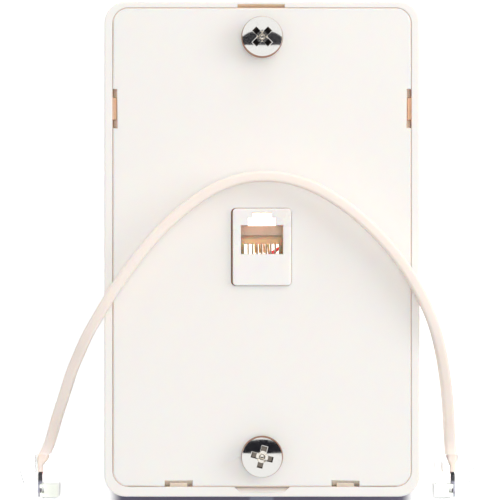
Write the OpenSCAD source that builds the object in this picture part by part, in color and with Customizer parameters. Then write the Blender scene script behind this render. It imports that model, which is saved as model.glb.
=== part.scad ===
// Wall telephone jack box, with a short flat line cord that has a modular plug on each end.
// The box lies on its back: +Z points out of its face and +Y is up when it hangs on a wall.
// The origin is the centre of the back face. All sizes are in millimetres.

/* [Box] */
// Width of the box
box_w = 72.8; // [71:0.1:75]
// Height of the box
box_h = 114.3; // [114:0.1:118]
// Depth of the box, from the wall to its face
box_d = 19; // [18.5:0.5:25]
// Corner radius of the box
box_r = 4.9; // [4:0.1:6]
// Thickness of the side rims
rim_side = 1.9; // [1.2:0.05:2.2]
// Thickness of the upper rim
rim_top = 1.45; // [1.2:0.05:2]
// Thickness of the lower rim, which has the pry scoop
rim_bottom = 2.3; // [1.5:0.05:2.6]
// Thickness of the back
floor_t = 2; // [1.5:0.1:2.5]

/* [Front plate] */
// Thickness of the front plate
plate_t = 2; // [1.8:0.1:2.4]
// Gap between the front plate and the rim
plate_gap = 0.3; // [0.2:0.05:0.5]
// Corner radius of the front plate
plate_r = 3.4; // [3:0.1:3.8]
// How far a side snap notch reaches into the plate
notch_depth = 0.8; // [0.75:0.05:1.4]
// How far an end snap notch reaches into the plate
end_notch_depth = 1.1; // [0.95:0.05:1.4]

/* [Studs] */
// Centre distance of the two stud screws
stud_pitch = 96; // [95.5:0.01:97]
// Height of the point midway between the stud screws over the box's middle
stud_middle = 0.5; // [0:0.1:1]
// Diameter of a stud's head
stud_head_d = 9.6; // [9:0.1:9.8]
// Diameter of a stud's shoulder
stud_neck_d = 5.6; // [5:0.1:5.7]
// Gap between the plate and a stud's head
stud_reach = 3.2; // [3:0.1:3.6]
// Diameter of a stud's thread
stud_thread_d = 3.5; // [3.2:0.1:3.5]
// Turn of the recess in the upper and the lower stud
stud_turn = [45, -14]; // [-45:1:45]

/* [Wall screws] */
// Centre distance of the wall screws
wall_pitch = 83.3; // [82:0.1:83.3]
// Diameter of a wall screw's hole
wall_hole_d = 4.4; // [4:0.1:4.6]

/* [Jack] */
// Width of the jack's face
jack_w = 13.5; // [13.5:0.1:14]
// Height of the jack's face
jack_h = 17.75; // [17.7:0.05:18]
// How far the jack stands out of the plate
jack_proud = 1.5; // [1:0.1:2]
// Width of the plug opening
port_w = 9.7; // [9.65:0.05:9.8]
// Height of the plug opening
port_h = 6.6; // [6.5:0.1:6.8]
// Depth of the plug opening
port_depth = 10.3; // [10:0.1:10.8]
// Spacing of the contact wires
contact_pitch = 1.02; // [1:0.01:1.04]
// Diameter of a contact wire
contact_d = 0.4; // [0.3:0.05:0.45]

/* [Cord and plugs] */
// Width of the flat cord
cord_w = 5; // [4.6:0.1:5.2]
// Thickness of the flat cord
cord_t = 2.4; // [2.2:0.1:2.6]
// Thickness of the cord where the plug's anchor pinches it
cord_pinch = 1.25; // [1.1:0.05:1.3]
// Width of a plug, which stands on its side
plug_w = 9.6; // [9.6:0.05:9.8]
// Height of a plug from its latch side to its contact side
plug_h = 6.5; // [6.4:0.1:6.6]
// Length of a plug
plug_l = 12.3; // [12:0.1:12.6]
// Diameter of a conductor in its insulation
wire_d = 0.95; // [0.8:0.05:0.98]

/* [Hidden] */
$fn = 64;
eps = 0.01;
cavity_w = box_w - 2 * rim_side;
cavity_h = box_h - rim_top - rim_bottom;
plate_y = (rim_bottom - rim_top) / 2;
function stud_y(side) = stud_middle + side * stud_pitch / 2;
plate_w = cavity_w - 2 * plate_gap;
plate_h = cavity_h - 2 * plate_gap;
plate_z = box_d - plate_t;

// Snap barbs on the rim and the plate's notches over them: centre, length, side of the box
notch_y = 32.4;
notch_x = 19.25;
side_notch_l = 9;
end_notch_l = 6.4;
ledge_t = 0.9;
barb_reach = 0.85;

// Bosses in the box
boss_d = 6.4;
insert_d = 4.8;
insert_l = 9;
thread_gap = 0.05;
post_x = 12.5;
post_d = 6;
rib_w = 2;
rib_t = 1.6;
window = [18, 22];

// The jack, whose face is centred a little above the middle of the box
jack_y = 0.47;
jack_z = box_d + jack_proud;
jack_back = 6;
jack_r = 0.9;
port_bottom = -1.15;
port_top = port_bottom + port_h;
stop_z = jack_z - port_depth;
lip_t = 1.4;
key_low = [6.5, 7.2];
key_high = [4.5, 8.5];
flange = [18, 22.2, 2];
carrier = [10.4, 6.4, 2.7];
carrier_back = 5;
comb_h = 2.3;
slot_w = 0.64;
comb_pitch = 1.07;
contact_x = [for (i = [-1.5:1.5]) i * contact_pitch];
comb_slots = [for (i = [-3.5:3.5]) i * comb_pitch];
hinge_y = -0.75;
hinge_z = 18.6;
arm_l = 10.1;
arm_angle = 10;
tail_y = -2.25;
tail_end = 3.8;

// The terminal block and the four leads from the jack to it
block = [36, 11, 6];
block_y = -26.5;
terminal_x = [-13.5, -4.5, 4.5, 13.5];
lug_t = 0.6;
lead_d = 0.85;
lead_colours = ["#1c1c20", "#b3232a", "#2f7d46", "#d9b430"];
// The red lead's slack, which loops behind the jack before the lead runs down
red_slack = [
    [0.51, -2.15, 3.3], [1.1, -1.75, 3.1], [2.5, -0.95, 3.1], [3.9, 0, 3.1], [5.3, 0.5, 3.1],
    [6.7, 0, 3.1], [7.4, -1.6, 3.1], [7.6, -4, 3.1]
];

// A plug's inside, as distances from its latch side (u), from its rear (v) and across it (w)
plug_wall = 0.8;
jacket_end = 4.3;
anchor_u = 2.75;
wire_u = 1.95;
wire_from = 4.3;
wire_to = 10.6;
blade = [0.3, 4.6, 3.1];
blade_u = 1.4;
blade_v = 7.3;
latch_t = 1.1;
latch_l = 10.6;
latch_angle = 16;
latch_w = [6, 3.2];
latch_step = 4.4;
left_plug = [-54.5, -48.5];
right_plug = [47.3, -48.5];

// The cord's route from inside the left plug, over the face of the box, into the right plug
route = [
    [-52.5, -52.8, 4.8], [-52.5, -51.2, 4.8], [-52.2, -50, 4.8], [-51.5, -48.5, 4.8],
    [-50.6, -46.5, 4.9], [-49.6, -43.5, 5.7], [-48.5, -40, 7.4], [-46.5, -34.5, 10.5],
    [-44.5, -29, 13.8], [-42.5, -24.5, 16.5], [-40, -19.5, 19.7], [-37, -14.5, 21.8],
    [-34.2, -10, 22.9], [-29.5, -3.4, 23.6], [-23.5, 3.8, 24.1], [-17, 9.7, 24.5],
    [-10.5, 13.9, 24.8], [-4.5, 16, 25], [1.5, 16.5, 25], [7.5, 15.6, 24.9],
    [13.5, 13.2, 24.7], [20, 9, 24.3], [26, 3.7, 23.8], [31.5, -2.7, 23.1],
    [36, -9.8, 22.2], [39.3, -17, 20.7], [41.5, -24.3, 17.3], [43, -31.5, 13.2],
    [44, -38, 9.2], [44.6, -43.5, 6], [44.9, -46.5, 5], [45.1, -48.5, 4.8],
    [45.2, -50, 4.8], [45.3, -51.2, 4.8], [45.3, -52.8, 4.8]
];
pinched = 2;

ivory = "#f4efe6";
jack_white = "#f6f5f2";
nickel = "#c9c7c2";
brass = "#c8a24c";
gold = "#d4a24a";
clear = [0.9, 0.93, 0.95, 0.4];

// ---- Shapes that repeat ----

// A flat rectangle with round corners
module rounded_rect(size, r) {
    square([size[0] - 2 * r, size[1]], center = true);
    square([size[0], size[1] - 2 * r], center = true);
    for (x = [-1, 1], y = [-1, 1])
        translate([x * (size[0] / 2 - r), y * (size[1] / 2 - r)])
            circle(r);
}

// A box between two corners
module block_between(low, high) {
    translate(low)
        cube(high - low);
}

function unit(v) = v / norm(v);

// The direction of a route at one of its points
function heading(path, i) =
    unit(path[min(i + 1, len(path) - 1)] - path[max(i - 1, 0)]);

// The level direction across a route at one of its points
function across(path, i) =
    let (t = heading(path, i), flat = norm([t[0], t[1]]))
        flat < 0.05 ? [1, 0, 0] : [-t[1], t[0], 0] / flat;

// One oval ring of a tube, half as thick as "half" says and half as wide as "rise"
function oval_ring(path, i, half, rise, sides) =
    let (n = across(path, i), b = cross(heading(path, i), n))
        [for (k = [0:sides - 1])
            path[i] + half * cos(360 * k / sides) * n + rise * sin(360 * k / sides) * b];

// A tube through a route's points, closed at both ends
module tube(path, halves, rise, sides = 8) {
    last = len(path) - 1;
    rings = [for (i = [0:last]) each oval_ring(path, i, halves[i], rise, sides)];
    walls = [for (i = [0:last - 1], k = [0:sides - 1])
        let (a = i * sides + k, b = i * sides + (k + 1) % sides)
            [a, b, b + sides, a + sides]];
    ends = [[for (k = [sides - 1:-1:0]) k], [for (k = [0:sides - 1]) last * sides + k]];
    polyhedron(points = rings, faces = concat(walls, ends), convexity = 10);
}

// ---- The box ----

// A wedge on the rim that the plate's ledge snaps under, pointing along +X
module snap_barb(length) {
    rotate([90, 0, 0])
        linear_extrude(length, center = true)
            polygon([[-0.5, 0], [barb_reach, 0], [barb_reach, 0.25], [0, 0.85], [-0.5, 0.85]]);
}

module barb_at(x, y, turn, length) {
    translate([x, y, plate_z + ledge_t + 0.05])
        rotate(turn)
            snap_barb(length);
}

module snap_barbs() {
    for (side = [-1, 1]) {
        barb_at(side * cavity_w / 2, notch_y, side > 0 ? 180 : 0, 5);
        barb_at(side * notch_x, plate_y - cavity_h / 2, 90, 4);
    }
}

// Ribs inside the walls that the plate rests on
module plate_rests() {
    for (x = [-1, 1], y = [-46, 0, 46])
        block_between([x > 0 ? cavity_w / 2 - rib_t : -cavity_w / 2 - 0.5, y - rib_w / 2, 1],
                      [x > 0 ? cavity_w / 2 + 0.5 : -cavity_w / 2 + rib_t, y + rib_w / 2, plate_z]);
    for (x = [-24, 24]) {
        block_between([x - rib_w / 2, plate_y + cavity_h / 2 - rib_t, 1],
                      [x + rib_w / 2, plate_y + cavity_h / 2 + 0.5, plate_z]);
        block_between([x - rib_w / 2, plate_y - cavity_h / 2 - 0.5, 1],
                      [x + rib_w / 2, plate_y - cavity_h / 2 + rib_t, plate_z]);
    }
}

// A boss for one stud screw, tied to the end wall by a rib
module stud_boss(side) {
    translate([0, stud_y(side), 1])
        cylinder(d = boss_d, h = plate_z - 1);
    wall_y = plate_y + side * cavity_h / 2;
    boss_y = stud_y(side);
    block_between([-0.8, min(boss_y, wall_y), 1], [0.8, max(boss_y, wall_y), plate_z - 4]);
}

// A bar along X that slopes up from the cavity towards the outside of the rim
module sloped_cut(length, reach, depth) {
    rotate([90, 0, 90])
        linear_extrude(length, center = true)
            polygon([[-0.5, -depth], [0, -depth], [reach, -0.1], [reach, 1], [-0.5, 1]]);
}

// The finger slot in the upper rim and the pry scoop in the lower one
module rim_cuts() {
    translate([-0.2, plate_y + cavity_h / 2, box_d])
        sloped_cut(10.8, 0.8, 1.4);
    translate([0, plate_y - cavity_h / 2, box_d])
        intersection() {
            mirror([0, 1, 0])
                sloped_cut(12.8, 1.3, 1.1);
            translate([0, 0, -2])
                linear_extrude(4)
                    polygon([[-6.4, 0.5], [-6.4, 0], [-5, -1.3], [5, -1.3], [6.4, 0], [6.4, 0.5]]);
        }
}

module base_housing() {
    color(ivory)
    difference() {
        union() {
            difference() {
                linear_extrude(box_d)
                    rounded_rect([box_w, box_h], box_r);
                translate([0, plate_y, floor_t])
                    linear_extrude(box_d)
                        rounded_rect([cavity_w, cavity_h], plate_r + plate_gap);
            }
            for (side = [-1, 1]) {
                stud_boss(side);
                translate([side * post_x, jack_y, 1])
                    cylinder(d = post_d, h = plate_z - flange[2] - 1);
            }
            plate_rests();
            snap_barbs();
        }
        for (side = [-1, 1]) {
            translate([0, stud_y(side), plate_z - insert_l])
                cylinder(d = insert_d, h = insert_l + 1);
            translate([0, stud_y(side), floor_t + 2])
                cylinder(d = stud_thread_d + 0.6, h = box_d);
            translate([0, side * wall_pitch / 2, -1])
                cylinder(d = wall_hole_d, h = floor_t + 2);
        }
        translate([0, 0, -1])
            linear_extrude(floor_t + 2)
                rounded_rect(window, 2);
        rim_cuts();
    }
}

module front_plate() {
    color(ivory)
    difference() {
        translate([0, plate_y, plate_z])
            linear_extrude(plate_t)
                rounded_rect([plate_w, plate_h], plate_r);
        translate([-0.15, jack_y, plate_z - 1])
            linear_extrude(plate_t + 2)
                rounded_rect([jack_w + 0.6, jack_h + 0.35], jack_r + 0.2);
        for (side = [-1, 1]) {
            translate([0, stud_y(side), plate_z - 1])
                cylinder(d = stud_neck_d + 0.3, h = plate_t + 2);
            translate([side * plate_w / 2, notch_y, plate_z + ledge_t + 5])
                cube([2 * notch_depth, side_notch_l, 10], center = true);
            translate([side * notch_x, plate_y - plate_h / 2, plate_z + ledge_t + 5])
                cube([end_notch_l, 2 * end_notch_depth, 10], center = true);
        }
    }
}

// ---- The stud screws ----

// A threaded brass insert in a boss
module insert(side) {
    color(brass)
    translate([0, stud_y(side), plate_z - insert_l])
        difference() {
            cylinder(d = insert_d, h = insert_l);
            translate([0, 0, -1])
                cylinder(d = stud_thread_d + 2 * thread_gap, h = insert_l + 2);
        }
}

module upper_insert() { insert(1); }
module lower_insert() { insert(-1); }

// The cross recess of a screw head, from its deepest point upwards
module cross_recess(span, wing, depth) {
    for (turn = [0, 90])
        rotate(turn)
            rotate([90, 0, 0])
                linear_extrude(wing, center = true)
                    polygon([[-span * 0.24, 0], [span * 0.24, 0], [span / 2, depth], [span / 2, depth + 2],
                             [-span / 2, depth + 2], [-span / 2, depth]]);
    cylinder(d1 = wing * 1.2, d2 = wing * 2, h = depth + 1);
}

// A shouldered screw whose domed head stands off the plate
module stud_screw(side, turn) {
    rim_t = 0.9;
    dome_rise = 0.85;
    recess_floor = 0.55;
    head_z = box_d + stud_reach;
    head_r = stud_head_d / 2;
    dome_r = (head_r * head_r + dome_rise * dome_rise) / (2 * dome_rise);
    color(nickel)
    translate([0, stud_y(side), 0])
        difference() {
            union() {
                translate([0, 0, plate_z - insert_l + 1])
                    cylinder(d = stud_thread_d, h = insert_l);
                translate([0, 0, plate_z])
                    cylinder(d = stud_neck_d, h = head_z - plate_z + 0.5);
                translate([0, 0, head_z])
                    intersection() {
                        cylinder(r = head_r, h = rim_t + dome_rise + 1);
                        translate([0, 0, rim_t + dome_rise - dome_r])
                            sphere(dome_r, $fn = 128);
                    }
            }
            translate([0, 0, head_z + recess_floor])
                rotate(turn)
                    cross_recess(5.1, 1.35, 0.75);
        }
}

module upper_stud_screw() { stud_screw(1, stud_turn[0]); }
module lower_stud_screw() { stud_screw(-1, stud_turn[1]); }

// ---- The jack ----

module jack_housing() {
    color(jack_white)
    difference() {
        union() {
            translate([0, jack_y, jack_back])
                linear_extrude(jack_z - jack_back)
                    rounded_rect([jack_w, jack_h], jack_r);
            translate([0, jack_y, plate_z - flange[2]])
                linear_extrude(flange[2])
                    rounded_rect([flange[0], flange[1]], 1.5);
            translate([0, jack_y, plate_z - flange[2] / 2])
                cube([2 * post_x + 4, 5, flange[2]], center = true);
        }
        // The opening, its deeper lower part, and the stepped keyway for the plug's latch,
        // which runs right through and widens behind the lip that the latch catches on
        block_between([-port_w / 2, port_bottom, stop_z], [port_w / 2, port_top, jack_z + 1]);
        block_between([-port_w / 2, port_bottom, jack_back + 1], [port_w / 2, 3.2, jack_z]);
        block_between([-key_low[0] / 2, port_top - 1, stop_z], [key_low[0] / 2, key_low[1], jack_z + 1]);
        block_between([-key_high[0] / 2, key_low[1] - 1, stop_z],
                      [key_high[0] / 2, key_high[1], jack_z + 1]);
        block_between([-key_low[0] / 2, port_top, jack_back - 1],
                      [key_low[0] / 2, key_high[1], jack_z - lip_t]);
        // The seat of the contact carrier, and a channel for each contact wire
        block_between([-carrier[0] / 2, -3.2, jack_back - 1], [carrier[0] / 2, 3.2, carrier_back + carrier[2]]);
        for (x = contact_x) {
            block_between([x - 0.3, -2.6, jack_back], [x + 0.3, -1.9, 18.9]);
            block_between([x - 0.3, -2.6, 18.1], [x + 0.3, 0, 18.9]);
        }
    }
}

// The insert that closes the jack's back, with the comb that spaces the contact wires
module contact_carrier() {
    bar = comb_pitch - slot_w;
    front = carrier_back + carrier[2];
    color("#e9dcc6")
    difference() {
        union() {
            block_between([-carrier[0] / 2, -3.2, carrier_back], [carrier[0] / 2, 3.2, front]);
            for (i = [-4:4])
                block_between([i * comb_pitch - bar / 2, port_bottom, front - eps],
                              [i * comb_pitch + bar / 2, port_bottom + comb_h, front + 2.3]);
        }
        for (x = contact_x)
            block_between([x - 0.3, -2.6, 0], [x + 0.3, -1.9, 20]);
        for (x = comb_slots)
            block_between([x - slot_w / 2, port_bottom, 0], [x + slot_w / 2, port_bottom + comb_h, 20]);
    }
}

// The sprung end of one contact wire, which the plug presses down
module contact_wire(i) {
    color(gold)
    translate([contact_x[i], hinge_y, hinge_z])
        rotate([180 + arm_angle, 0, 0])
            cylinder(d = contact_d, h = arm_l);
}

module contact_wire_1() { contact_wire(0); }
module contact_wire_2() { contact_wire(1); }
module contact_wire_3() { contact_wire(2); }
module contact_wire_4() { contact_wire(3); }

// The fixed ends of the contact wires, which turn back under the opening and leave at the rear
module contact_tails() {
    bend_z = hinge_z - 0.1;
    color(gold)
    for (x = contact_x) {
        translate([x, tail_y, tail_end])
            cylinder(d = contact_d, h = bend_z - tail_end + contact_d / 2);
        translate([x, tail_y, bend_z])
            rotate([-90, 0, 0])
                cylinder(d = contact_d, h = hinge_y - tail_y - contact_d / 2 - 0.1);
    }
}

// ---- The terminals and leads ----

module terminal_block() {
    color(ivory)
    difference() {
        union() {
            translate([0, block_y, floor_t + block[2] / 2])
                cube(block, center = true);
            for (x = [-18, -9, 0, 9, 18])
                translate([x, block_y, floor_t + block[2] / 2 + 1])
                    cube([1, block[1], block[2] + 2], center = true);
        }
        for (x = terminal_x)
            translate([x, block_y, floor_t + 1])
                cylinder(d = 3.1, h = block[2]);
    }
}

module terminal_screws() {
    seat = floor_t + block[2] + lug_t;
    color(nickel)
    for (x = terminal_x)
        translate([x, block_y, 0])
            difference() {
                union() {
                    translate([0, 0, floor_t + 1.5])
                        cylinder(d = 3, h = seat - floor_t - 1.5);
                    translate([0, 0, seat])
                        cylinder(d = 5.4, h = 2);
                }
                translate([0, 0, seat + 1.5])
                    cube([6, 0.8, 2], center = true);
            }
}

module spade_lugs() {
    color(brass)
    for (x = terminal_x)
        translate([x, block_y, floor_t + block[2]])
            difference() {
                union() {
                    cylinder(d = 6, h = lug_t);
                    block_between([-1.2, 0, 0], [1.2, 5.9, lug_t]);
                    translate([0, 3.7, lug_t + lead_d / 2])
                        rotate([-90, 0, 0])
                            cylinder(d = 1.9, h = 2);
                }
                translate([0, 3.4, lug_t + lead_d / 2])
                    rotate([-90, 0, 0])
                        cylinder(d = lead_d + 0.1, h = 3);
                translate([0, 0, -1])
                    cylinder(d = 3.1, h = 3);
            }
}

// One lead from a contact wire's tail, under the jack and up to its spade lug
module lead(x, far, tint, slack = []) {
    lug_z = floor_t + block[2] + lug_t + lead_d / 2;
    start = len(slack) > 0 ? slack
        : [[x, tail_y - 0.15, tail_end - 0.5], [x, tail_y - 0.75, 3.1], [x * 1.4, -6, 3.1]];
    turn_x = start[len(start) - 1][0];
    path = [
        [x, tail_y, tail_end], each start,
        [turn_x * 0.8 + far * 0.2, -9, 3.1], [far * 0.85 + turn_x * 0.15, -14, 3.1],
        [far, -16.5, 3.4], [far, -18.3, 4.6], [far, -19.2, 6.6], [far, -19.6, 8.4],
        [far, -20.3, lug_z + 0.05], [far, -21, lug_z], [far, -22.7, lug_z]
    ];
    halves = [for (p = path) lead_d / 2];
    color(tint)
    tube(path, halves, lead_d / 2);
}

module black_lead() { lead(contact_x[3], terminal_x[2], lead_colours[0]); }
module red_lead() { lead(contact_x[2], terminal_x[3], lead_colours[1], red_slack); }
module green_lead() { lead(contact_x[1], terminal_x[1], lead_colours[2]); }
module yellow_lead() { lead(contact_x[0], terminal_x[0], lead_colours[3]); }

// ---- The cord and its plugs ----

module line_cord() {
    last = len(route) - 1;
    halves = [for (i = [0:last])
        (i < pinched || i > last - pinched ? cord_pinch : cord_t) / 2];
    color("#f0e4d2")
    tube(route, halves, cord_w / 2);
}

// Places a plug: "away" is -1 for the left one and 1 for the right one, whose latches face out
module at_plug(corner, away) {
    translate([corner[0], corner[1], 0])
        mirror([away > 0 ? 1 : 0, 0, 0])
            mirror([0, 1, 0])
                children();
}

wire_w = [for (i = [1.5:-1:-1.5]) plug_w / 2 + i * contact_pitch];

module plug_body(corner, away) {
    middle = plug_w / 2;
    color(clear)
    at_plug(corner, away)
        difference() {
            block_between([0, 0, 0], [plug_h, plug_l, plug_w]);
            // The cord's chamber, narrowed where the anchor wedge is pressed in
            translate([0, 0, middle - 2.9])
                linear_extrude(5.8)
                    polygon([[plug_wall, -1], [4.3, -1], [4.3, 0.8], [anchor_u, 2.8],
                             [anchor_u, jacket_end + 0.4], [plug_wall, jacket_end + 0.4]]);
            // The anchor's well in the contact side
            block_between([4.4, 1.8, middle - 3], [plug_h + 1, 4.2, middle + 3]);
            // The conductors' chamber, and a slot for each of six blades
            block_between([wire_u - 0.6, jacket_end, middle - 2.2], [wire_u + 0.6, wire_to + 0.2, middle + 2.2]);
            for (i = [-2.5:2.5])
                block_between([wire_u, blade_v - 0.1, middle + i * contact_pitch - 0.2],
                              [plug_h + 1, plug_l - 1.4, middle + i * contact_pitch + 0.2]);
            // The face under the latch steps back so that the latch can be pressed in
            block_between([-1, -1, middle - 3.4], [0.5, plug_l - 2, middle + 3.4]);
        }
}

// The latch springs about its root at the plug's nose, and its narrow end is the finger tab
module plug_latch(corner, away) {
    color(clear)
    at_plug(corner, away)
        translate([-latch_t / 2 - 0.05, plug_l - 0.8, plug_w / 2])
            rotate([0, 0, -90 - latch_angle]) {
                cylinder(d = latch_t, h = latch_w[0], center = true);
                translate([latch_step / 2, 0, 0])
                    cube([latch_step, latch_t, latch_w[0]], center = true);
                translate([latch_l / 2, 0, 0])
                    cube([latch_l, latch_t, latch_w[1]], center = true);
            }
}

module plug_contacts(corner, away) {
    color(gold)
    at_plug(corner, away)
        for (w = wire_w)
            difference() {
                block_between([blade_u, blade_v, w - blade[0] / 2],
                              [blade_u + blade[1], blade_v + blade[2], w + blade[0] / 2]);
                // The gap between the two prongs that bite the conductor
                block_between([blade_u - 1, blade_v + 1, w - 1], [wire_u + 0.8, blade_v + 2.1, w + 1]);
            }
}

module plug_wire(corner, away, i, tint) {
    color(tint)
    at_plug(corner, away)
        difference() {
            translate([wire_u, wire_from, wire_w[i]])
                rotate([-90, 0, 0])
                    cylinder(d = wire_d, h = wire_to - wire_from);
            for (v = [blade_v, blade_v + 2.1])
                block_between([-1, v - 0.02, wire_w[i] - blade[0] / 2 - 0.02],
                              [4, v + 1.02, wire_w[i] + blade[0] / 2 + 0.02]);
        }
}

module left_plug_body() { plug_body(left_plug, -1); }
module left_plug_latch() { plug_latch(left_plug, -1); }
module left_plug_contacts() { plug_contacts(left_plug, -1); }
module left_black_wire() { plug_wire(left_plug, -1, 0, lead_colours[0]); }
module left_red_wire() { plug_wire(left_plug, -1, 1, lead_colours[1]); }
module left_green_wire() { plug_wire(left_plug, -1, 2, lead_colours[2]); }
module left_yellow_wire() { plug_wire(left_plug, -1, 3, lead_colours[3]); }
module right_plug_body() { plug_body(right_plug, 1); }
module right_plug_latch() { plug_latch(right_plug, 1); }
module right_plug_contacts() { plug_contacts(right_plug, 1); }
module right_black_wire() { plug_wire(right_plug, 1, 0, lead_colours[0]); }
module right_red_wire() { plug_wire(right_plug, 1, 1, lead_colours[1]); }
module right_green_wire() { plug_wire(right_plug, 1, 2, lead_colours[2]); }
module right_yellow_wire() { plug_wire(right_plug, 1, 3, lead_colours[3]); }

base_housing();
front_plate();
upper_insert();
lower_insert();
upper_stud_screw();
lower_stud_screw();
jack_housing();
contact_carrier();
contact_wire_1();
contact_wire_2();
contact_wire_3();
contact_wire_4();
contact_tails();
terminal_block();
terminal_screws();
spade_lugs();
black_lead();
red_lead();
green_lead();
yellow_lead();
line_cord();
left_plug_body();
left_plug_latch();
left_plug_contacts();
left_black_wire();
left_red_wire();
left_green_wire();
left_yellow_wire();
right_plug_body();
right_plug_latch();
right_plug_contacts();
right_black_wire();
right_red_wire();
right_green_wire();
right_yellow_wire();
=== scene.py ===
"""Wall telephone jack with a short flat line cord: its looks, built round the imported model.

The box lies on its back, +Z out of its face and +Y up on the wall. All sizes are in metres.
"""

import math

import bmesh
import bpy
from mathutils import Matrix, Vector


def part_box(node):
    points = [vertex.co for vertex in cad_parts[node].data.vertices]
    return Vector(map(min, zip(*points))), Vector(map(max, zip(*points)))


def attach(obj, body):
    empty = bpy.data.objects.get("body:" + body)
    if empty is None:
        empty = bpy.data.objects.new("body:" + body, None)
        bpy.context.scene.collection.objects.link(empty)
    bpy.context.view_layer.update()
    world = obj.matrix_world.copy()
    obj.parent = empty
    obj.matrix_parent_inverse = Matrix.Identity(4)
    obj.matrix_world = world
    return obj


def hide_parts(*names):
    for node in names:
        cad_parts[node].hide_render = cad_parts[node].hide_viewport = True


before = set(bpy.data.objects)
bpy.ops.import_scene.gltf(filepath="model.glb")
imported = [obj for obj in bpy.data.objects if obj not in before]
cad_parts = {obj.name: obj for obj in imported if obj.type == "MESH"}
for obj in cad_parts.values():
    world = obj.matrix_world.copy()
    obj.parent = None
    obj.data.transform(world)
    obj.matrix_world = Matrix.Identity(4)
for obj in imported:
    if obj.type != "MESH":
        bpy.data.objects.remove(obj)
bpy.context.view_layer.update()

scene = bpy.context.scene
box_low, box_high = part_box("base_housing")
face_z = box_high.z


# ---- Camera ----
# It hangs over the face and looks straight down, with the top of the box up.

camera_reach = 0.42
view_width = 0.1153
camera = bpy.data.objects.new("camera", bpy.data.cameras.new("camera"))
camera.data.sensor_width = 36
camera.data.lens = camera.data.sensor_width * camera_reach / view_width
camera.location = (-0.00277, -0.00023, face_z + camera_reach)
scene.collection.objects.link(camera)
scene.camera = camera
scene.view_settings.view_transform = "Standard"


# ---- Line cord ----
# Four conductors side by side in one flat jacket of extruded ivory vinyl. It leaves the left
# plug, climbs over the side rim, arches across the face on its edge and ends in the right plug.

cord_width = 0.005
cord_thickness = 0.0024
pinched_thickness = 0.00125
cord_corner = 0.0007
pinched_points = 2
cord_route = [
    (-0.0525, -0.0528, 0.0048), (-0.0525, -0.0512, 0.0048), (-0.0522, -0.0500, 0.0048),
    (-0.0515, -0.0485, 0.0048), (-0.0506, -0.0465, 0.0049), (-0.0496, -0.0435, 0.0057),
    (-0.0485, -0.0400, 0.0074), (-0.0465, -0.0345, 0.0105), (-0.0445, -0.0290, 0.0138),
    (-0.0425, -0.0245, 0.0165), (-0.0400, -0.0195, 0.0197), (-0.0370, -0.0145, 0.0218),
    (-0.0342, -0.0100, 0.0229), (-0.0295, -0.0034, 0.0236), (-0.0235, 0.0038, 0.0241),
    (-0.0170, 0.0097, 0.0245), (-0.0105, 0.0139, 0.0248), (-0.0045, 0.0160, 0.0250),
    (0.0015, 0.0165, 0.0250), (0.0075, 0.0156, 0.0249), (0.0135, 0.0132, 0.0247),
    (0.0200, 0.0090, 0.0243), (0.0260, 0.0037, 0.0238), (0.0315, -0.0027, 0.0231),
    (0.0360, -0.0098, 0.0222), (0.0393, -0.0170, 0.0207), (0.0415, -0.0243, 0.0173),
    (0.0430, -0.0315, 0.0132), (0.0440, -0.0380, 0.0092), (0.0446, -0.0435, 0.0060),
    (0.0449, -0.0465, 0.0050), (0.0451, -0.0485, 0.0048), (0.0452, -0.0500, 0.0048),
    (0.0453, -0.0512, 0.0048), (0.0453, -0.0528, 0.0048),
]


def smooth_line(points, steps):
    """A curve through points, with that many steps between each two of them."""
    line = []
    last = len(points) - 1
    for i in range(last):
        before, start, end, after = (
            Vector(points[k]) for k in (max(i - 1, 0), i, i + 1, min(i + 2, last))
        )
        for k in range(steps):
            t = k / steps
            line.append(
                0.5 * (2 * start + (end - before) * t
                       + (2 * before - 5 * start + 4 * end - after) * t ** 2
                       + (3 * start - before - 3 * end + after) * t ** 3)
            )
    line.append(Vector(points[last]))
    return line


def station(line, i):
    """Where a ring sits at point i of a line: its X level and across the line, its Z along it."""
    along = (line[min(i + 1, len(line) - 1)] - line[max(i - 1, 0)]).normalized()
    level = Vector((-along.y, along.x, 0))
    level = level.normalized() if level.length > 0.05 else Vector((1, 0, 0))
    turn = Matrix((level, along.cross(level), along)).transposed().to_4x4()
    return Matrix.Translation(line[i]) @ turn


def pull_ring(bm, ring):
    """Extrudes a ring of edges in place: the new ring's verts and edges."""
    pulled = bmesh.ops.extrude_edge_only(bm, edges=ring)["geom"]
    verts = [g for g in pulled if isinstance(g, bmesh.types.BMVert)]
    corners = set(verts)
    edges = [g for g in pulled if isinstance(g, bmesh.types.BMEdge) and set(g.verts) <= corners]
    return verts, edges


def sweep(bm, ring, stations):
    """Pulls a capped ring of edges, drawn round the origin, through the stations."""
    verts = list({v for e in ring for v in e.verts})
    bmesh.ops.transform(bm, matrix=stations[0], verts=verts)
    for here, there in zip(stations, stations[1:]):
        verts, ring = pull_ring(bm, ring)
        bmesh.ops.transform(bm, matrix=there @ here.inverted(), verts=verts)
    bmesh.ops.edgenet_fill(bm, edges=ring)
    bmesh.ops.recalc_face_normals(bm, faces=bm.faces)


def add_piece(bm, name, body, finish, nodes, sharp=35):
    """Makes a piece of a mesh, shaded smooth but for edges over the sharp angle in degrees."""
    mesh = bpy.data.meshes.new(name)
    for face in bm.faces:
        face.material_index = 0
        face.smooth = True
    bm.to_mesh(mesh)
    bm.free()
    mesh.set_sharp_from_angle(angle=math.radians(sharp))
    mesh.materials.append(finish)
    piece = bpy.data.objects.new(name, mesh)
    scene.collection.objects.link(piece)
    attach(piece, body)
    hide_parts(*nodes)
    return piece


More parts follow.
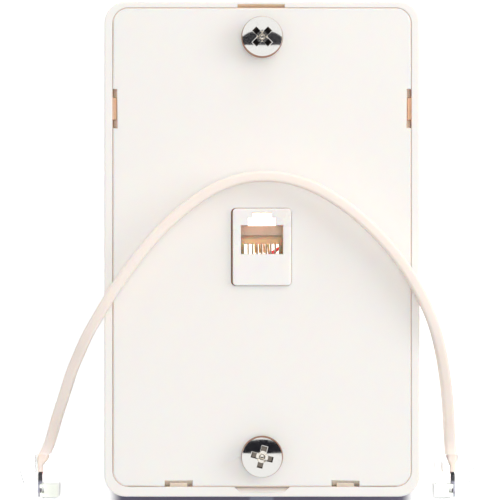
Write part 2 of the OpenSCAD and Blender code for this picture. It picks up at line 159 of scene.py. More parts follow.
def shader_group(name, inputs, outputs):
    """A shader node group with named sockets: the tree, its input node and its output node."""
    tree = bpy.data.node_groups.new(name, "ShaderNodeTree")
    for label, kind, value in inputs:
        tree.interface.new_socket(label, in_out="INPUT", socket_type=kind).default_value = value
    for label, kind in outputs:
        tree.interface.new_socket(label, in_out="OUTPUT", socket_type=kind)
    return tree, tree.nodes.new("NodeGroupInput"), tree.nodes.new("NodeGroupOutput")


def add_node(tree, kind, inputs=None, **settings):
    """A shader node, with each named input linked to a socket or set to a plain value."""
    node = tree.nodes.new("ShaderNode" + kind)
    for key, value in settings.items():
        setattr(node, key, value)
    for key, value in (inputs or {}).items():
        if isinstance(value, bpy.types.NodeSocket):
            tree.links.new(value, node.inputs[key])
        else:
            node.inputs[key].default_value = value
    return node


def sum_of(tree, operation, *terms):
    """The output of one Math node."""
    return add_node(tree, "Math", dict(enumerate(terms)), operation=operation).outputs[0]


def product(tree, *terms):
    """The product of several values."""
    result = terms[0]
    for term in terms[1:]:
        result = sum_of(tree, "MULTIPLY", result, term)
    return result


def near(tree, value, middle, reach):
    """1 where a value is within reach of the middle one, else 0."""
    away = sum_of(tree, "ABSOLUTE", sum_of(tree, "SUBTRACT", value, middle))
    return sum_of(tree, "LESS_THAN", away, reach)


def faded(tree, value, start, end):
    """0 before start and 1 past end, with a smooth passage between them."""
    sockets = {"Value": value, "From Min": start, "From Max": end}
    node = add_node(tree, "MapRange", sockets, interpolation_type="SMOOTHSTEP")
    return node.outputs["Result"]


def colour_mix(tree, share, first, second, blend="MIX"):
    """Two colours mixed by a share."""
    node = add_node(tree, "Mix", data_type="RGBA", blend_type=blend)
    sockets = [s for s in node.inputs if s.name in ("Factor", "A", "B")]
    plugs = {"Factor": share, "A": first, "B": second}
    for s in sockets:
        if not s.enabled:
            continue
        value = plugs[s.name]
        if isinstance(value, bpy.types.NodeSocket):
            tree.links.new(value, s)
        else:
            s.default_value = value
    return next(s for s in node.outputs if s.enabled)


def place(tree):
    """Object coordinates."""
    return add_node(tree, "TexCoord").outputs["Object"]


# A moulded or extruded plastic skin: slow clouding of its colour, a fine grain and faint scuffs
skin, skin_in, skin_out = shader_group(
    "plastic skin",
    [("Colour", "NodeSocketColor", (0.8, 0.8, 0.8, 1)), ("Clouding", "NodeSocketFloat", 0.02),
     ("Grain size", "NodeSocketFloat", 0.0003), ("Roughness", "NodeSocketFloat", 0.35)],
    [("Colour", "NodeSocketColor"), ("Roughness", "NodeSocketFloat"),
     ("Height", "NodeSocketFloat")],
)
skin_place = place(skin)
clouds = add_node(skin, "TexNoise", {"Vector": skin_place, "Scale": 90.0, "Detail": 3.0})
grain_scale = sum_of(skin, "DIVIDE", 1.0, skin_in.outputs["Grain size"])
grain = add_node(skin, "TexNoise", {"Vector": skin_place, "Scale": grain_scale, "Detail": 2.0})
smears = add_node(skin, "TexNoise", {"Vector": skin_place, "Scale": 260.0, "Detail": 5.0})
cloud_shift = sum_of(skin, "SUBTRACT", clouds.outputs["Fac"], 0.5)
shade = sum_of(skin, "MULTIPLY_ADD", cloud_shift, skin_in.outputs["Clouding"], 1.0)
shaded = add_node(skin, "VectorMath", {0: skin_in.outputs["Colour"]}, operation="SCALE")
skin.links.new(shade, shaded.inputs["Scale"])
skin.links.new(shaded.outputs["Vector"], skin_out.inputs["Colour"])
smear_shift = sum_of(skin, "MULTIPLY_ADD", smears.outputs["Fac"], 0.06, -0.03)
smeared = sum_of(skin, "ADD", skin_in.outputs["Roughness"], smear_shift)
skin.links.new(smeared, skin_out.inputs["Roughness"])
skin.links.new(grain.outputs["Fac"], skin_out.inputs["Height"])

# Sparse dark specks, as dust and small marks leave on a pale surface
specks, specks_in, specks_out = shader_group(
    "specks",
    [("Spacing", "NodeSocketFloat", 0.004), ("Size", "NodeSocketFloat", 0.00012),
     ("Share", "NodeSocketFloat", 0.1)],
    [("Mask", "NodeSocketFloat")],
)
speck_scale = sum_of(specks, "DIVIDE", 1.0, specks_in.outputs["Spacing"])
cells = add_node(specks, "TexVoronoi", {"Vector": place(specks), "Scale": speck_scale})
reach = sum_of(specks, "DIVIDE", specks_in.outputs["Size"], specks_in.outputs["Spacing"])
in_speck = sum_of(specks, "LESS_THAN", cells.outputs["Distance"], reach)
pick = add_node(specks, "SeparateColor", {"Color": cells.outputs["Color"]}).outputs["Red"]
chosen = sum_of(specks, "LESS_THAN", pick, specks_in.outputs["Share"])
specks.links.new(product(specks, in_speck, chosen), specks_out.inputs["Mask"])


def place_group(tree, group, **values):
    """A shader group set in a material, with underscores for the spaces in its sockets' names."""
    inputs = {key.replace("_", " "): value for key, value in values.items()}
    node = tree.nodes.new("ShaderNodeGroup")
    node.node_tree = group
    for key, value in inputs.items():
        if isinstance(value, bpy.types.NodeSocket):
            tree.links.new(value, node.inputs[key])
        else:
            node.inputs[key].default_value = value
    return node.outputs


def new_finish(name, **plain):
    """A material and its Principled shader, with plain values on the shader's own sockets."""
    finish = bpy.data.materials.new(name)
    finish.use_nodes = True
    shader = finish.node_tree.nodes["Principled BSDF"]
    for key, value in plain.items():
        shader.inputs[key.replace("_", " ")].default_value = value
    return finish, shader


def plastic(name, colour, clouding, grain_size, grain_depth, roughness, glow=0.15,
            glow_reach=0.0012, **plain):
    """A plastic finish: a colour, or a function that makes the colour in the tree."""
    finish, shader = new_finish(name, Subsurface_Weight=glow,
                                Subsurface_Scale=glow_reach, **plain)
    shader.inputs["Subsurface Radius"].default_value = (1.0, 0.6, 0.35)
    tree = finish.node_tree
    tint = colour(tree) if callable(colour) else colour
    surface = place_group(tree, skin, Colour=tint, Clouding=clouding, Grain_size=grain_size,
                          Roughness=roughness)
    bump = add_node(tree, "Bump", {"Height": surface["Height"], "Distance": grain_depth})
    tree.links.new(surface["Colour"], shader.inputs["Base Color"])
    tree.links.new(surface["Roughness"], shader.inputs["Roughness"])
    tree.links.new(bump.outputs["Normal"], shader.inputs["Normal"])
    return finish


plug_mouth = -0.0487
scuff_line = Vector((0.0286, -0.0014, 0)), Vector((0.0348, -0.0112, 0))
scuff_aside = 0.0003
scuff_half_width = 0.0005
scuff_half_length = 0.006


def jacket_colour(tree):
    """Ivory vinyl with a few scuffs along its right-hand run, and painted shade that makes it
    greyer inside the plugs.
    """
    start, end = scuff_line
    along = (end - start).normalized()
    across = Vector((-along.y, along.x, 0))
    from_start = add_node(tree, "VectorMath", {0: place(tree), 1: start}, operation="SUBTRACT")
    reach, aside = (
        add_node(tree, "VectorMath", {0: from_start.outputs["Vector"], 1: way},
                 operation="DOT_PRODUCT").outputs["Value"]
        for way in (along, across)
    )
    rubbed = near(tree, aside, scuff_aside, scuff_half_width)
    within = near(tree, reach, (start - end).length / 2, scuff_half_length)
    marks = place_group(tree, specks, Spacing=0.0009, Size=0.0002, Share=0.4)["Mask"]
    share = product(tree, marks, rubbed, within)
    y = add_node(tree, "SeparateXYZ", {"Vector": place(tree)}).outputs["Y"]
    # Painted shade: the jacket is made darker and greyer where it runs inside the clear plugs
    painted_plug_shade = sum_of(tree, "LESS_THAN", y, plug_mouth)
    vinyl = colour_mix(tree, painted_plug_shade, (0.93, 0.835, 0.77, 1), (0.66, 0.57, 0.51, 1))
    return colour_mix(tree, sum_of(tree, "MULTIPLY", share, 0.6), vinyl, (0.22, 0.17, 0.13, 1))


jacket_finish = plastic("cord jacket", jacket_colour, 0.05, 0.0004, 0.00002, 0.5, glow=0.4,
                        Specular_IOR_Level=0.3)

cord_line = smooth_line(cord_route, 4)
bm = bmesh.new()
bmesh.ops.create_circle(bm, cap_ends=True, segments=32, radius=cord_corner)
flat_half = cord_width / 2 - cord_corner
side_half = cord_thickness / 2 - cord_corner
for vert in bm.verts:
    vert.co.x += math.copysign(side_half, vert.co.x)
    vert.co.y += math.copysign(flat_half, vert.co.y)
cord_stations = []
for i in range(len(cord_line)):
    from_end = min(i, len(cord_line) - 1 - i) / 4
    pinch = min(max(from_end - pinched_points + 1, 0), 1)
    thickness = pinched_thickness + (cord_thickness - pinched_thickness) * pinch
    squeeze = Matrix.Scale(thickness / cord_thickness, 4, (1, 0, 0))
    cord_stations.append(station(cord_line, i) @ squeeze)
sweep(bm, bm.edges[:], cord_stations)
cord = add_piece(bm, "flat_cord", "box", jacket_finish, ["line_cord"])


# ---- Plugs ----
# Each end of the jacket is crimped into a modular plug of clear polycarbonate. Four coloured
# conductors run on past its anchor to plated blades, and a sprung latch stands off one side.

plug_rear = {"left": Vector((-0.0545, -0.0485, 0)), "right": Vector((0.0473, -0.0485, 0))}
plug_turn = {"left": Matrix.Diagonal((1, -1, 1, 1)), "right": Matrix.Diagonal((-1, -1, 1, 1))}
plug_middle = 0.0048
contact_pitch = 0.00102
wire_level, wire_radius = 0.00195, 0.000475
flat_level, flat_radius = 0.00165, 0.00024
prongs_from, prongs_to = 0.0062, 0.0070
wire_colours = {
    "black": (0.012, 0.012, 0.016, 1), "red": (0.36, 0.004, 0.024, 1),
    "green": (0.02, 0.16, 0.05, 1), "yellow": (0.66, 0.42, 0.045, 1),
}


def cad_copy(node):
    """A copy of a CAD node's mesh, merged, with its flat faces whole again."""
    bm = bmesh.new()
    bm.from_mesh(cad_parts[node].data)
    bmesh.ops.remove_doubles(bm, verts=bm.verts, dist=0.000002)
    bmesh.ops.dissolve_limit(bm, angle_limit=math.radians(0.5), verts=bm.verts, edges=bm.edges)
    return bm


def ridges(bm, wanted, angle=40):
    """The outer corners of a solid that a test on an edge's middle and faces wants."""
    limit = math.radians(angle)
    found = []
    for edge in bm.edges:
        if edge.is_manifold and edge.is_convex and edge.calc_face_angle() > limit:
            middle = (edge.verts[0].co + edge.verts[1].co) / 2
            if wanted(middle, edge.link_faces):
                found.append(edge)
    return found


def soften(bm, edges, radius, segments=3):
    """Rounds edges to a radius."""
    bmesh.ops.bevel(bm, geom=edges, offset=radius, offset_type="OFFSET", affect="EDGES",
                    segments=segments, profile=0.5, clamp_overlap=False, material=-1)


def flatten_shading(piece):
    """Keeps broad flat faces flat beside their rounded edges."""
    weights = piece.modifiers.new("face weights", "WEIGHTED_NORMAL")
    weights.keep_sharp = True


def round_bar(bm, line, radius, sides=16):
    """Adds a round bar along a line, with domed ends."""
    ring = bmesh.ops.create_circle(bm, cap_ends=True, segments=sides, radius=radius)["verts"]
    ring_edges = list({e for v in ring for e in v.link_edges})
    stations = [station(line, i) for i in range(len(line))]
    domes = []
    for degrees in (18, 42, 66):
        turn = math.radians(degrees)
        shrink = Matrix.Diagonal((math.sin(turn), math.sin(turn), 1, 1))
        domes.append((radius * (1 - math.cos(turn)), shrink))
    start = [stations[0] @ Matrix.Translation((0, 0, z)) @ shrink for z, shrink in domes]
    start.append(stations[0] @ Matrix.Translation((0, 0, radius)))
    end = [stations[-1] @ Matrix.Translation((0, 0, -z)) @ shrink for z, shrink in domes]
    end.append(stations[-1] @ Matrix.Translation((0, 0, -radius)))
    sweep(bm, ring_edges, start + stations[1:-1] + end[::-1])


def glass(name, tint, roughness, depth, bend=1.13):
    """Clear plastic. Lamplight passes straight through, and a low bend keeps its edges faint."""
    finish, shader = new_finish(name, Transmission_Weight=1.0, IOR=bend)
    tree = finish.node_tree
    surface = place_group(tree, skin, Colour=tint, Clouding=0.02, Grain_size=0.0009,
                          Roughness=roughness)
    bump = add_node(tree, "Bump", {"Height": surface["Height"], "Distance": depth})
    tree.links.new(surface["Colour"], shader.inputs["Base Color"])
    spread = sum_of(tree, "MAXIMUM", surface["Roughness"], 0.01)
    tree.links.new(spread, shader.inputs["Roughness"])
    tree.links.new(bump.outputs["Normal"], shader.inputs["Normal"])
    through = add_node(tree, "BsdfTransparent")
    ray = add_node(tree, "LightPath").outputs["Is Shadow Ray"]
    mixed = add_node(tree, "MixShader", {0: ray, 1: shader.outputs[0], 2: through.outputs[0]})
    tree.links.new(mixed.outputs[0], tree.nodes["Material Output"].inputs["Surface"])
    return finish


def metal(name, colour, roughness, scratch_size, scratch_depth, tarnish):
    """A plated metal finish with fine scratches and a little tarnish."""
    finish, shader = new_finish(name, Metallic=1.0)
    tree = finish.node_tree
    here = place(tree)
    stretched = add_node(tree, "Mapping", {"Vector": here, "Scale": (1.0, 1.0, 0.12)})
    lines = add_node(tree, "TexNoise", {"Vector": stretched.outputs[0], "Scale": 1 / scratch_size,
                                        "Detail": 4.0})
    blotches = add_node(tree, "TexNoise", {"Vector": here, "Scale": 700.0, "Detail": 3.0})
    dull = faded(tree, blotches.outputs["Fac"], 0.52, 0.75)
    share = sum_of(tree, "MULTIPLY", dull, tarnish)
    tint = colour(tree) if callable(colour) else colour
    stained = colour_mix(tree, share, tint, (0.6, 0.6, 0.6, 1), "MULTIPLY")
    tree.links.new(stained, shader.inputs["Base Color"])
    worn = sum_of(tree, "MULTIPLY_ADD", lines.outputs["Fac"], 0.1, roughness - 0.05)
    tree.links.new(sum_of(tree, "MULTIPLY_ADD", share, 0.3, worn), shader.inputs["Roughness"])
    bump = add_node(tree, "Bump", {"Height": lines.outputs["Fac"], "Distance": scratch_depth})
    tree.links.new(bump.outputs["Normal"], shader.inputs["Normal"])
    return finish


def insulation(tint):
    """A colour function for a conductor, with painted sheen: it turns grey-violet inside the plug
    where the prongs flatten it.
    """
    def colour(tree):
        y = add_node(tree, "SeparateXYZ", {"Vector": place(tree)}).outputs["Y"]
        rear = plug_rear["left"].y
        flat_end = faded(tree, y, rear - prongs_from, rear - prongs_to)
        near_plug = sum_of(tree, "LESS_THAN", y, rear)
        # Painted sheen: grey-violet on the flattened end of the conductor
        share = product(tree, flat_end, near_plug, 0.8)
        return colour_mix(tree, share, tint, (0.34, 0.34, 0.42, 1))
    return colour


clear_finish = glass("clear polycarbonate", (0.99, 0.993, 0.995, 1), 0.03, 0.000004)
gold_finish = metal("gold plate", (0.95, 0.73, 0.34, 1), 0.3, 0.0004, 0.000002, 0.4)
blade_finish = metal("blade plate", (0.80, 0.82, 0.74, 1), 0.4, 0.0004, 0.000002, 0.1)
wire_finishes = {
    colour: plastic(colour + " insulation", insulation(tint), 0.08, 0.0003, 0.000004, 0.36,
                    glow=0.05)
    for colour, tint in wire_colours.items()
}

for side in ("left", "right"):
    place_plug = Matrix.Translation(plug_rear[side]) @ plug_turn[side]

    # The moulded body, rounded along the edges of its box
    body_low, body_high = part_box(side + "_plug_body")

    def on_two_sides(middle, faces):
        """An edge in which two of the body's six outer sides meet."""
        sides = sum(min(abs(middle[k] - body_low[k]), abs(middle[k] - body_high[k])) < 0.00001
                    for k in range(3))
        return sides > 1

    bm = cad_copy(side + "_plug_body")
    soften(bm, ridges(bm, on_two_sides), 0.00022)
    body_piece = add_piece(bm, side + "_clear_body", "box", clear_finish,
                           [side + "_plug_body"])
    flatten_shading(body_piece)

    # The latch, a thin bar that narrows to its finger tab
    bm = cad_copy(side + "_plug_latch")
    soften(bm, ridges(bm, lambda middle, faces: True), 0.00014)
    latch_piece = add_piece(bm, side + "_clear_latch", side + "_latch", clear_finish,
                            [side + "_plug_latch"])
    flatten_shading(latch_piece)

    # The blades, stamped from flat strip
    bm = cad_copy(side + "_plug_contacts")
    soften(bm, ridges(bm, lambda middle, faces: True), 0.00004, 2)
    blades = add_piece(bm, side + "_gold_blades", "box", blade_finish,
                       [side + "_plug_contacts"])
    flatten_shading(blades)

    # The conductors, round as far as the blades and squeezed flat between their prongs
    for k, colour in enumerate(wire_colours):
        across = plug_middle + (1.5 - k) * contact_pitch
        bm = bmesh.new()
        line = [place_plug @ Vector((wire_level, v, across)) for v in (0.0043, 0.0058, 0.0073)]
        round_bar(bm, line, wire_radius)
        line = [place_plug @ Vector((flat_level, v, across)) for v in (0.0069, 0.0087, 0.0104)]
        round_bar(bm, line, flat_radius)
        add_piece(bm, side + "_" + colour + "_conductor", "box", wire_finishes[colour],
                  [side + "_" + colour + "_wire"], sharp=60)


# ---- Base housing ----
# A shallow open box moulded in warm white plastic, with bosses for the studs, posts for the jack
# and snap barbs on its rim. A finger slot is cut in its upper rim and a pry scoop in the lower.

ivory = (0.900, 0.872, 0.840, 1)
# Painted shade below the face: tans for the gap, the notches and the finger slot, brown for the
# jack's opening
painted_gap_shade = (0.98, 0.78, 0.66, 1)
painted_end_notch_shade = (0.97, 0.84, 0.72, 1)
painted_notch_shade = (0.97, 0.70, 0.52, 1)
painted_socket_shade = (0.50, 0.24, 0.13, 1)
painted_slot_shade = (0.96, 0.80, 0.62, 1)
gap_depth = 0.0025
gap_reach = 0.00035
notch_height = 0.0324
end_notch_x = 0.01925
finger_slot_x = -0.0002
finger_slot_half = 0.0054
socket_y = 0.0005
socket_half_width = 0.0075
socket_half_height = 0.0092
plate_low, plate_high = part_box("front_plate")


def ivory_with_painted_shade(tree):
    """Ivory with painted shade: tan down the gap round the plate, more so in the snap notches and
    the end notches, tan in the finger slot and brown deep in the jack's opening.
    """
    spot = add_node(tree, "SeparateXYZ", {"Vector": place(tree)}).outputs
    x, y, z = (spot[k] for k in "XYZ")
    wide = sum_of(tree, "ABSOLUTE", x)
    deep = faded(tree, z, face_z - 0.00005, face_z - 0.00015)
    under = product(tree, deep, sum_of(tree, "GREATER_THAN", z, face_z - gap_depth))
    in_x = sum_of(tree, "LESS_THAN", wide, plate_high.x + gap_reach)
    in_y = near(tree, y, (plate_low.y + plate_high.y) / 2,
                (plate_high.y - plate_low.y) / 2 + gap_reach)
    # Painted shade: tan down the gap round the plate, then in the notches, the opening and the
    # slot
    tint = colour_mix(tree, product(tree, under, in_x, in_y), ivory, painted_gap_shade)
    side_notch = product(tree, sum_of(tree, "GREATER_THAN", wide, plate_high.x - 0.001),
                         near(tree, y, notch_height, 0.0027))
    end_notch = product(tree, sum_of(tree, "LESS_THAN", y, plate_low.y + 0.0013),
                        near(tree, wide, end_notch_x, 0.0032))
    tint = colour_mix(tree, product(tree, side_notch, under, in_x), tint, painted_notch_shade)
    tint = colour_mix(tree, product(tree, end_notch, under, in_y), tint, painted_end_notch_shade)
    socket = product(tree, under, sum_of(tree, "LESS_THAN", wide, socket_half_width),
                     near(tree, y, socket_y, socket_half_height))
    tint = colour_mix(tree, socket, tint, painted_socket_shade)
    slot = product(tree, under, sum_of(tree, "GREATER_THAN", y, plate_high.y + 0.0003),
                   near(tree, x, finger_slot_x, finger_slot_half))
    return colour_mix(tree, slot, tint, painted_slot_shade)


def level_edges(height, outward, within=0.00002):
    """A test for the edges of a level face, along its outside or round its openings."""
    def wanted(middle, faces):
        wall = min(faces, key=lambda face: abs(face.normal.z))
        away = wall.normal.dot(middle - Vector((0, 0, middle.z))) > 0
        return abs(middle.z - height) < within and abs(wall.normal.z) < 0.5 and away == outward
    return wanted


housing_finish = plastic("housing plastic", ivory_with_painted_shade, 0.012, 0.00035, 0.000006, 0.34,
                         glow=0.35, glow_reach=0.001)
bm = cad_copy("base_housing")
soften(bm, ridges(bm, level_edges(face_z, True)), 0.0004, 4)
soften(bm, ridges(bm, level_edges(box_low.z, True)), 0.0003)
soften(bm, ridges(bm, level_edges(face_z, False)), 0.00012, 2)
housing = add_piece(bm, "moulded_housing", "box", housing_finish,
                    ["base_housing"])
flatten_shading(housing)


# ---- Front plate ----
# A flat plate of the same plastic that snaps in flush with the rim. Small notches in its edge
# show the barbs that hold it, and it has openings for the jack and the two studs.

edge_lip = 0.00017
lip_reach = 0.00025
plate_corner = 0.0034
socket_shrink = 0.986
plate_finish = plastic("plate plastic", ivory_with_painted_shade, 0.012, 0.00035, 0.000006, 0.32,
                       glow=0.5, glow_reach=0.0015)
bm = cad_copy("front_plate")

# Under its lip the edge steps out and the socket's opening in, so that the gaps are narrow
jack_low, jack_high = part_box("jack_housing")
socket_middle = Vector((-0.00015, (jack_low.y + jack_high.y) / 2))
bmesh.ops.bisect_plane(bm, geom=bm.verts[:] + bm.edges[:] + bm.faces[:],
                       plane_co=(0, 0, face_z - edge_lip), plane_no=(0, 0, 1))
for vert in bm.verts:
    if vert.co.z < face_z - edge_lip + 0.00001:
        flat = vert.co.xy
        core = Vector([min(max(flat[k], plate_low[k] + plate_corner), plate_high[k] - plate_corner)
                       for k in (0, 1)])
        if (flat - core).length > plate_corner - 0.00002:
            vert.co.xy += (flat - core).normalized() * lip_reach
        from_socket = flat - socket_middle
        if (abs(from_socket.x) < socket_half_width
                and abs(from_socket.y) < socket_half_height + 0.0003):
            vert.co.xy = socket_middle + from_socket * socket_shrink
soften(bm, ridges(bm, level_edges(face_z, True)), 0.00022)
soften(bm, ridges(bm, level_edges(face_z, False)), 0.00015, 2)
plate = add_piece(bm, "snap_in_plate", "box", plate_finish, ["front_plate"])
flatten_shading(plate)


# ---- Stud screws ----
# Two shouldered steel screws, turned and nickel plated, whose domed heads stand off the plate to
# hang a telephone. Each has a cross recess and goes into a knurled brass insert in its boss.

stud_height = {"upper": 0.0485, "lower": -0.0475}
head_radius = 0.0048
head_low = 0.0222
head_top = 0.02395
dome_radius = 0.01398
rim_radius = 0.00455
recess_depth = 0.0019
wing_depth = 0.00115
recess_span = 0.0051
wing_width = 0.0013
rim_break = 0.00012
hub_radius = 0.00135
# Offset of the painted reflection ring, so that it is wider on the side towards the plate's middle
painted_reflection_offset = Vector((0.00006, 0.00013, 0))
recess_turn = {"upper": 45, "lower": -14}


def head_place(tree):
    """A point's place across its stud's head, its reach from the axis and its depth in it."""
    spot = add_node(tree, "SeparateXYZ", {"Vector": place(tree)}).outputs
    side = sum_of(tree, "SIGN", spot["Y"])
    middle = (stud_height["upper"] + stud_height["lower"]) / 2
    apart = (stud_height["upper"] - stud_height["lower"]) / 2
    outward = sum_of(tree, "MULTIPLY", side, sum_of(tree, "SUBTRACT", spot["Y"], middle))
    aside = sum_of(tree, "SUBTRACT", outward, apart)
    across = sum_of(tree, "MULTIPLY", side, spot["X"])
    flat = add_node(tree, "CombineXYZ", {"X": across, "Y": aside}).outputs[0]
    reach = add_node(tree, "VectorMath", {0: flat}, operation="LENGTH").outputs["Value"]
    drop = sum_of(tree, "DIVIDE", sum_of(tree, "MULTIPLY", reach, reach), 2 * dome_radius)
    depth = sum_of(tree, "SUBTRACT", sum_of(tree, "SUBTRACT", head_top, drop), spot["Z"])
    return flat, reach, depth


def head_colour(tree):
    """Bright nickel with a painted reflection, brown round the head's edge where it would mirror
    the shaded plate, and painted shade on the dark floors of the slots.
    """
    flat, reach, depth = head_place(tree)
    off_axis = add_node(tree, "VectorMath", {0: flat, 1: painted_reflection_offset}, operation="SUBTRACT")
    from_dome = add_node(tree, "VectorMath", {0: off_axis.outputs["Vector"]}, operation="LENGTH")
    # Painted reflection: brown round the head's edge
    brown = faded(tree, from_dome.outputs["Value"], rim_radius - 0.00002, rim_radius + 0.0001)
    in_recess = sum_of(tree, "LESS_THAN", reach, recess_span * 0.6)
    sunk = product(tree, faded(tree, depth, 0.00016, 0.0003), in_recess)
    # Painted shade: dark floors in the slots of the cross, round the hub
    outer = faded(tree, reach, hub_radius - 0.00005, hub_radius + 0.0001)
    floor = colour_mix(tree, outer, (0.97, 0.93, 0.86, 1), (0.20, 0.175, 0.15, 1))
    bright = colour_mix(tree, sunk, (0.85, 0.84, 0.81, 1), floor)
    return colour_mix(tree, brown, bright, (0.34, 0.17, 0.11, 1))


stud_finish = metal("bright nickel", head_colour, 0.09, 0.0005, 0.000001, 0.12)

# The hub of the recess is rougher than the dome
tree = stud_finish.node_tree
shader = tree.nodes["Principled BSDF"]
flat, reach, depth = head_place(tree)
hub = product(tree, faded(tree, depth, 0.0001, 0.0003),
              sum_of(tree, "LESS_THAN", reach, hub_radius))
worn = shader.inputs["Roughness"].links[0].from_socket
tree.links.new(sum_of(tree, "MULTIPLY_ADD", hub, 0.12, worn), shader.inputs["Roughness"])

# A film of dust on the upper head, which greys what it mirrors
y = add_node(tree, "SeparateXYZ", {"Vector": place(tree)}).outputs["Y"]
dust = add_node(tree, "TexNoise", {"Vector": place(tree), "Scale": 5000.0, "Detail": 3.0})
film = product(tree, sum_of(tree, "GREATER_THAN", y, 0.0),
               faded(tree, dust.outputs["Fac"], 0.35, 0.65), 0.06)
tree.links.new(sum_of(tree, "SUBTRACT", 1.0, film), shader.inputs["Metallic"])

nickel_finish = metal("nickel plate", (0.80, 0.79, 0.76, 1), 0.16, 0.0005, 0.0000015, 0.25)
brass_finish = metal("machined brass", (0.72, 0.50, 0.20, 1), 0.28, 0.0004, 0.000004, 0.5)


def turned(bm, profile, steps=96):
    """Spins a profile of (radius, height) pairs round the Z axis."""
    verts = [bm.verts.new((r, 0, z)) for r, z in profile]
    edges = [bm.edges.new(pair) for pair in zip(verts, verts[1:])]
    bmesh.ops.spin(bm, geom=verts + edges, axis=(0, 0, 1), cent=(0, 0, 0), dvec=(0, 0, 0),
                   angle=2 * math.pi, steps=steps, use_merge=True)
    bmesh.ops.remove_doubles(bm, verts=bm.verts, dist=0.0000005)
    bmesh.ops.recalc_face_normals(bm, faces=bm.faces)


def cut(piece_mesh, cutter_mesh):
    """One mesh with another taken out of it."""
    body = bpy.data.objects.new("body", piece_mesh)
    tool = bpy.data.objects.new("tool", cutter_mesh)
    for each in (body, tool):
        scene.collection.objects.link(each)
    taken = body.modifiers.new("cut", "BOOLEAN")
    taken.operation = "DIFFERENCE"
    taken.solver = "EXACT"
    taken.object = tool
    view = bpy.context.evaluated_depsgraph_get()
    result = bpy.data.meshes.new_from_object(body.evaluated_get(view))
    for each in (body, tool):
        bpy.data.objects.remove(each)
    return result


def mesh_of(bm):
    """A plain mesh of a bmesh."""
    mesh = bpy.data.meshes.new("part")
    bm.to_mesh(mesh)
    bm.free()
    return mesh


def dome_height(x, y):
    """The height of the head's dome at a point."""
    return head_top - dome_radius + math.sqrt(dome_radius ** 2 - x * x - y * y)


def wing_cutter():
    """Cuts one slot of the cross, with a level floor and its rim broken all round."""
    bm = bmesh.new()
    bmesh.ops.create_grid(bm, x_segments=12, y_segments=1, size=0.5)
    for vert in bm.verts:
        vert.co.x *= recess_span * 0.9
        vert.co.y *= wing_width * 0.86
        vert.co.z = head_top - wing_depth
    top = bm.faces[:]
    for level, (widen, lift) in enumerate(((0, -rim_break), (rim_break + 0.0003, 0.0003))):
        pulled = bmesh.ops.extrude_face_region(bm, geom=top)["geom"]
        if level:
            bmesh.ops.delete(bm, geom=top, context="FACES_ONLY")
        top = [g for g in pulled if isinstance(g, bmesh.types.BMFace)]
        verts = [g for g in pulled if isinstance(g, bmesh.types.BMVert)]
        reach = max(abs(vert.co.x) for vert in verts)
        for vert in verts:
            vert.co.x *= (recess_span / 2 + widen) / reach
            vert.co.y = math.copysign(wing_width / 2 + widen, vert.co.y)
            vert.co.z = dome_height(vert.co.x, vert.co.y) + lift
    bmesh.ops.recalc_face_normals(bm, faces=bm.faces)
    return bm


def stud_head():
    """The screw about its own axis: thread, shoulder and domed head with its cross recess."""
    thread_r = 0.00175
    shoulder_r = 0.0028
    profile = [(0, 0.009), (thread_r - 0.0004, 0.009)]
    pitch = 0.0008
    z = 0.0094
    while z < 0.0164:
        profile += [(thread_r - 0.00035, z), (thread_r, z + pitch / 2)]
        z += pitch
    profile += [(thread_r - 0.0003, 0.0169), (shoulder_r - 0.0001, 0.017), (shoulder_r, 0.0171)]
    profile += [(shoulder_r, head_low - 0.0001), (shoulder_r + 0.0001, head_low)]
    edge_r = 0.00015
    profile.append((head_radius - edge_r, head_low))
    for degrees in (-60, -30, 0):
        turn = math.radians(degrees)
        profile.append((head_radius - edge_r + edge_r * math.cos(turn),
                        head_low + edge_r + edge_r * math.sin(turn)))
    profile.append((rim_radius + 0.00004, dome_height(rim_radius, 0) - 0.00008))
    for k in range(14, -1, -1):
        r = rim_radius * k / 14
        profile.append((r, dome_height(r, 0)))
    bm = bmesh.new()
    turned(bm, profile)
    mesh = mesh_of(bm)
    for quarter in (0, 90):
        bm = wing_cutter()
        bmesh.ops.rotate(bm, verts=bm.verts, matrix=Matrix.Rotation(math.radians(quarter), 3, "Z"))
        mesh = cut(mesh, mesh_of(bm))
    bm = bmesh.new()
    turned(bm, [(0, head_top - recess_depth - 0.0001), (0.0004, head_top - recess_depth),
                (hub_radius, head_top + 0.0001), (0, head_top + 0.0001)], 24)
    return cut(mesh, mesh_of(bm))


